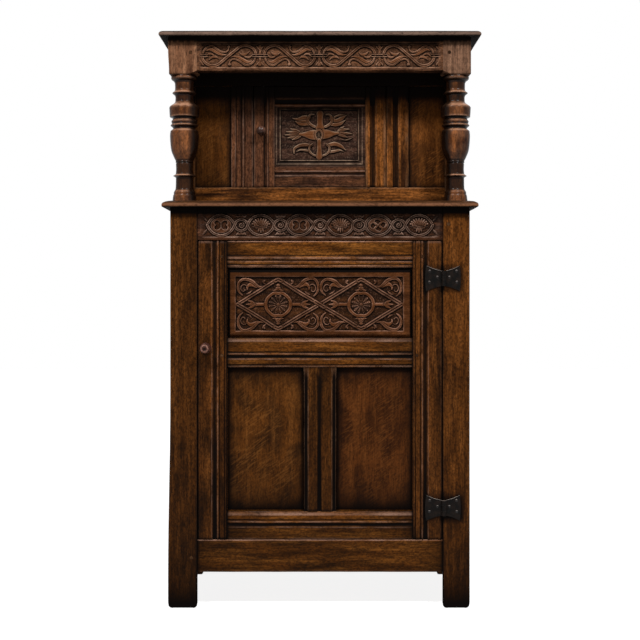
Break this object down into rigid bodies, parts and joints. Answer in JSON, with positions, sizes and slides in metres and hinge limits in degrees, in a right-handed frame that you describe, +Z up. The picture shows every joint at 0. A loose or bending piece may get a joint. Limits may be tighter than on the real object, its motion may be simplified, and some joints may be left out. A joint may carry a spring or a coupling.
{
  "type": "court cupboard",
  "caption": "Small carved oak court cupboard: open-legged base with a panelled door, turned columns and a recessed upper cupboard below a carved frieze.",
  "frame": {"origin": "centre of the overall footprint on the floor", "axes": "+Z up, the doors face -Y, +X to the right as seen from the front"},
  "size_m": [0.845, 0.434, 1.52],
  "materials": {
    "oak_frames": "waxed dark oak, worn arrises",
    "oak_panels": "waxed dark oak, quartered figure",
    "oak_turned": "waxed reddish oak, polished by wear",
    "oak_inner": "dry dusty oak boards",
    "wrought_iron": "blackened forged iron, waxed"
  },
  "bodies": {
    "carcase": {"front_left_post": "oak_frames", "rear_left_post": "oak_frames", "left_side_bottom_rail": "oak_frames", "left_side_middle_rail": "oak_frames", "left_side_top_rail": "oak_frames", "left_side_lower_panel": "oak_panels", "left_side_upper_panel": "oak_panels", "left_column": "oak_turned", "left_frieze_side_rail": "oak_frames", "left_upper_end": "oak_panels", "recess_left_stile": "oak_frames", "recess_left_muntin": "oak_frames", "recess_left_panel": "oak_panels", "front_right_post": "oak_frames", "rear_right_post": "oak_frames", "right_side_bottom_rail": "oak_frames", "right_side_middle_rail": "oak_frames", "right_side_top_rail": "oak_frames", "right_side_lower_panel": "oak_panels", "right_side_upper_panel": "oak_panels", "right_column": "oak_turned", "right_frieze_side_rail": "oak_frames", "right_upper_end": "oak_panels", "recess_right_stile": "oak_frames", "recess_right_muntin": "oak_frames", "recess_right_panel": "oak_panels", "front_bottom_rail": "oak_frames", "waist_frieze_rail": "oak_frames", "rear_bottom_rail": "oak_inner", "back_boards": "oak_inner", "floor_boards": "oak_inner", "shelf": "oak_inner", "ledge_board": "oak_frames", "carcase_pegs": "oak_turned", "frieze_rail": "oak_frames", "rear_top_rail": "oak_inner", "recess_bottom_rail": "oak_frames", "recess_top_rail": "oak_frames", "cornice_board": "oak_frames", "hinge_post_leaves": "wrought_iron", "hinge_post_nails": "wrought_iron"},
    "lower_door": {"lower_door_knob_stile": "oak_frames", "lower_door_hinge_stile": "oak_frames", "lower_door_bottom_rail": "oak_frames", "lower_door_middle_rail": "oak_frames", "lower_door_top_rail": "oak_frames", "lower_door_muntin": "oak_frames", "lower_door_carved_panel": "oak_panels", "lower_door_left_panel": "oak_panels", "lower_door_right_panel": "oak_panels", "lower_door_pegs": "oak_turned", "hinge_door_leaves": "wrought_iron", "hinge_door_nails": "wrought_iron"},
    "upper_door": {"upper_door_knob_stile": "oak_frames", "upper_door_hinge_stile": "oak_frames", "upper_door_bottom_rail": "oak_frames", "upper_door_top_rail": "oak_frames", "upper_door_carved_panel": "oak_panels"},
    "lower_knob": {"lower_knob": "oak_turned"},
    "upper_knob": {"upper_knob": "oak_turned"}
  },
  "joints": [
    {"name": "lower_door_swing", "type": "hinge", "parent": "carcase", "child": "lower_door", "pos_m": [0.326, -0.19, 0.5755], "axis": [0, 0, 1], "range_deg": [0, 170]},
    {"name": "upper_door_swing", "type": "hinge", "parent": "carcase", "child": "upper_door", "pos_m": [0.1735, -0.066, 1.259], "axis": [0, 0, 1], "range_deg": [0, 95]},
    {"name": "lower_knob_turn", "type": "hinge", "parent": "lower_door", "child": "lower_knob", "pos_m": [-0.3015, -0.183, 0.686], "axis": [0, 1, 0], "range_deg": [0, 90]},
    {"name": "upper_knob_turn", "type": "hinge", "parent": "upper_door", "child": "upper_knob", "pos_m": [-0.16, -0.073, 1.273], "axis": [0, 1, 0], "range_deg": [0, 90]}
  ]
}
